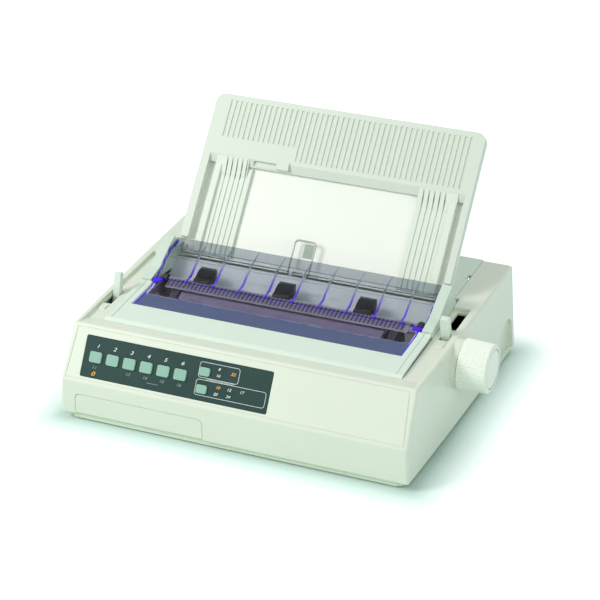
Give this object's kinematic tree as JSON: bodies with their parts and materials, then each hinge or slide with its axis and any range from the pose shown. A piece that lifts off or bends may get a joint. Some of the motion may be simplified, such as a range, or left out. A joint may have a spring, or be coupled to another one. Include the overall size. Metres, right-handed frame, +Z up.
{
  "type": "dot matrix printer",
  "caption": "Desktop dot matrix printer with a slanted key panel, hinged clear cover and visor over the platen and print head, folding sheet support, turning knob and feed levers.",
  "frame": {"origin": "on the desk under the middle of the whole machine at rest, sheet support up", "axes": "+X to the right along the platen towards the knob, +Y to the rear, +Z up; the key panel faces -Y"},
  "size_m": [0.398, 0.309, 0.2317],
  "materials": {
    "cream_plastic": "fine satin moulding",
    "cream_support": "satin moulding",
    "grey_plastic": "satin grey moulding",
    "dark_panel": "printed dark slate film",
    "button_plastic": "pale grey-green caps",
    "lamp_plastic": "clear amber lens",
    "frosted_window": "frosted blue-violet clear plastic",
    "smoked_visor": "clear smoked plastic with a violet tint",
    "black_plastic": "black moulding",
    "platen_rubber": "ground black rubber",
    "roller_rubber": "black rubber",
    "foot_rubber": "black rubber",
    "plated_steel": "zinc plated sheet",
    "bright_steel": "ground steel",
    "wire_steel": "bright wire",
    "head_metal": "cast finned body",
    "motor_steel": "black motor can",
    "white_nylon": "white gear plastic",
    "circuit_board": "green laminate",
    "core_iron": "varnished iron core",
    "belt_rubber": "toothed belt",
    "ribbon_fabric": "inked ribbon"
  },
  "bodies": {
    "case": {"upper_case": "cream_plastic", "lower_case": "cream_plastic", "rubber_feet": "foot_rubber", "case_screws": "plated_steel", "control_panel": "dark_panel", "indicator_lamps": "lamp_plastic", "panel_board": "circuit_board", "rear_cover": "cream_plastic", "platen_cover": "grey_plastic", "visor": "smoked_visor", "wire_rest": "wire_steel", "frame_left": "plated_steel", "frame_right": "plated_steel", "frame_base": "plated_steel", "shaft_bushings": "white_nylon", "feed_motor": "motor_steel", "ruler_bar": "grey_plastic", "paper_chute": "plated_steel", "guide_shaft": "bright_steel", "front_rail": "plated_steel", "drive_belt": "belt_rubber", "carriage_motor": "motor_steel", "transformer": "core_iron", "main_board": "circuit_board", "power_inlet": "black_plastic", "interface_connector": "black_plastic"},
    "lid": {"access_cover": "cream_plastic", "access_window": "frosted_window"},
    "support": {"separator_panel": "cream_support"},
    "left_guide": {"sheet_guide_left": "cream_support"},
    "right_guide": {"sheet_guide_right": "cream_support"},
    "platen": {"platen_shaft": "bright_steel", "platen_rubber": "platen_rubber", "sprocket_wheels": "black_plastic", "platen_gear": "white_nylon", "platen_knob": "cream_plastic"},
    "idler": {"idler_gear": "white_nylon"},
    "pinion": {"motor_pinion": "white_nylon"},
    "bail": {"bail_frame": "black_plastic", "bail_rollers": "roller_rubber"},
    "bail_lever": {"bail_lever": "cream_plastic"},
    "feed_lever": {"paper_lever": "cream_plastic"},
    "carriage": {"carriage": "black_plastic", "print_head": "head_metal", "ribbon_cartridge": "black_plastic", "ribbon_band": "ribbon_fabric"},
    "drive_pulley": {"motor_pulley": "white_nylon"},
    "tail_pulley": {"idler_pulley": "white_nylon"},
    "front_flap": {"front_cover": "cream_plastic"},
    "rocker": {"power_switch": "black_plastic"},
    "key_1": {"button_1": "button_plastic"},
    "key_2": {"button_2": "button_plastic"},
    "key_3": {"button_3": "button_plastic"},
    "key_4": {"button_4": "button_plastic"},
    "key_5": {"button_5": "button_plastic"},
    "key_6": {"button_6": "button_plastic"},
    "key_7": {"button_7": "button_plastic"},
    "key_8": {"button_8": "button_plastic"}
  },
  "joints": [
    {"name": "lid_hinge", "type": "hinge", "parent": "case", "child": "lid", "pos_m": [-0.01421, -0.02113, 0.0955], "axis": [-1, 0, 0], "range_deg": [0, 95]},
    {"name": "support_hinge", "type": "hinge", "parent": "case", "child": "support", "pos_m": [-0.01421, 0.0484, 0.10024], "axis": [-1, 0, 0], "range_deg": [0, 48]},
    {"name": "left_guide_slide", "type": "slide", "parent": "support", "child": "left_guide", "axis": [1, 0, 0], "range_m": [0, 0.03]},
    {"name": "right_guide_slide", "type": "slide", "parent": "support", "child": "right_guide", "axis": [-1, 0, 0], "range_m": [0, 0.06]},
    {"name": "platen_spin", "type": "hinge", "parent": "case", "child": "platen", "pos_m": [-0.01421, -0.02423, 0.0697], "axis": [1, 0, 0], "continuous": true},
    {"name": "idler_spin", "type": "hinge", "parent": "case", "child": "idler", "pos_m": [0.12779, 0.00188, 0.04952], "axis": [1, 0, 0], "continuous": true},
    {"name": "pinion_spin", "type": "hinge", "parent": "case", "child": "pinion", "pos_m": [0.12779, 0.02003, 0.03539], "axis": [1, 0, 0], "continuous": true},
    {"name": "bail_swing", "type": "hinge", "parent": "case", "child": "bail", "pos_m": [-0.01421, -0.00453, 0.045], "axis": [-1, 0, 0], "range_deg": [0, 6]},
    {"name": "bail_lever_turn", "type": "hinge", "parent": "case", "child": "bail_lever", "pos_m": [-0.18241, -0.06253, 0.044], "axis": [1, 0, 0], "range_deg": [0, 22]},
    {"name": "feed_lever_turn", "type": "hinge", "parent": "case", "child": "feed_lever", "pos_m": [0.14499, -0.00453, 0.04], "axis": [-1, 0, 0], "range_deg": [0, 44]},
    {"name": "carriage_slide", "type": "slide", "parent": "case", "child": "carriage", "axis": [1, 0, 0], "range_m": [0, 0.15]},
    {"name": "drive_pulley_spin", "type": "hinge", "parent": "case", "child": "drive_pulley", "pos_m": [-0.13221, -0.08853, 0.027], "axis": [0, 0, 1], "range_deg": [-1080, 10]},
    {"name": "tail_pulley_spin", "type": "hinge", "parent": "case", "child": "tail_pulley", "pos_m": [0.10379, -0.08853, 0.027], "axis": [0, 0, 1], "range_deg": [-1080, 10]},
    {"name": "front_flap_hinge", "type": "hinge", "parent": "case", "child": "front_flap", "pos_m": [-0.10906, -0.15273, 0.0106], "axis": [1, 0, 0], "range_deg": [0, 80]},
    {"name": "rocker_turn", "type": "hinge", "parent": "case", "child": "rocker", "pos_m": [0.08779, 0.13927, 0.032], "axis": [1, 0, 0], "range_deg": [0, 16]},
    {"name": "key_1_press", "type": "slide", "parent": "case", "child": "key_1", "axis": [0, 0.8625, -0.5061], "range_m": [0, 0.001], "stiffness_N_per_m": 300, "springref_m": -0.001},
    {"name": "key_2_press", "type": "slide", "parent": "case", "child": "key_2", "axis": [0, 0.8625, -0.5061], "range_m": [0, 0.001], "stiffness_N_per_m": 300, "springref_m": -0.001},
    {"name": "key_3_press", "type": "slide", "parent": "case", "child": "key_3", "axis": [0, 0.8625, -0.5061], "range_m": [0, 0.001], "stiffness_N_per_m": 300, "springref_m": -0.001},
    {"name": "key_4_press", "type": "slide", "parent": "case", "child": "key_4", "axis": [0, 0.8625, -0.5061], "range_m": [0, 0.001], "stiffness_N_per_m": 300, "springref_m": -0.001},
    {"name": "key_5_press", "type": "slide", "parent": "case", "child": "key_5", "axis": [0, 0.8625, -0.5061], "range_m": [0, 0.001], "stiffness_N_per_m": 300, "springref_m": -0.001},
    {"name": "key_6_press", "type": "slide", "parent": "case", "child": "key_6", "axis": [0, 0.8625, -0.5061], "range_m": [0, 0.001], "stiffness_N_per_m": 300, "springref_m": -0.001},
    {"name": "key_7_press", "type": "slide", "parent": "case", "child": "key_7", "axis": [0, 0.8625, -0.5061], "range_m": [0, 0.001], "stiffness_N_per_m": 300, "springref_m": -0.001},
    {"name": "key_8_press", "type": "slide", "parent": "case", "child": "key_8", "axis": [0, 0.8625, -0.5061], "range_m": [0, 0.001], "stiffness_N_per_m": 300, "springref_m": -0.001}
  ],
  "couplings": [
    {"joint": "idler_spin", "follows": "platen_spin", "ratio": -0.94118},
    {"joint": "pinion_spin", "follows": "platen_spin", "ratio": 2.6667},
    {"joint": "bail_lever_turn", "follows": "bail_swing", "ratio": 3.6663},
    {"joint": "drive_pulley_spin", "follows": "carriage_slide", "rad_per_m": -125},
    {"joint": "tail_pulley_spin", "follows": "carriage_slide", "rad_per_m": -125}
  ]
}
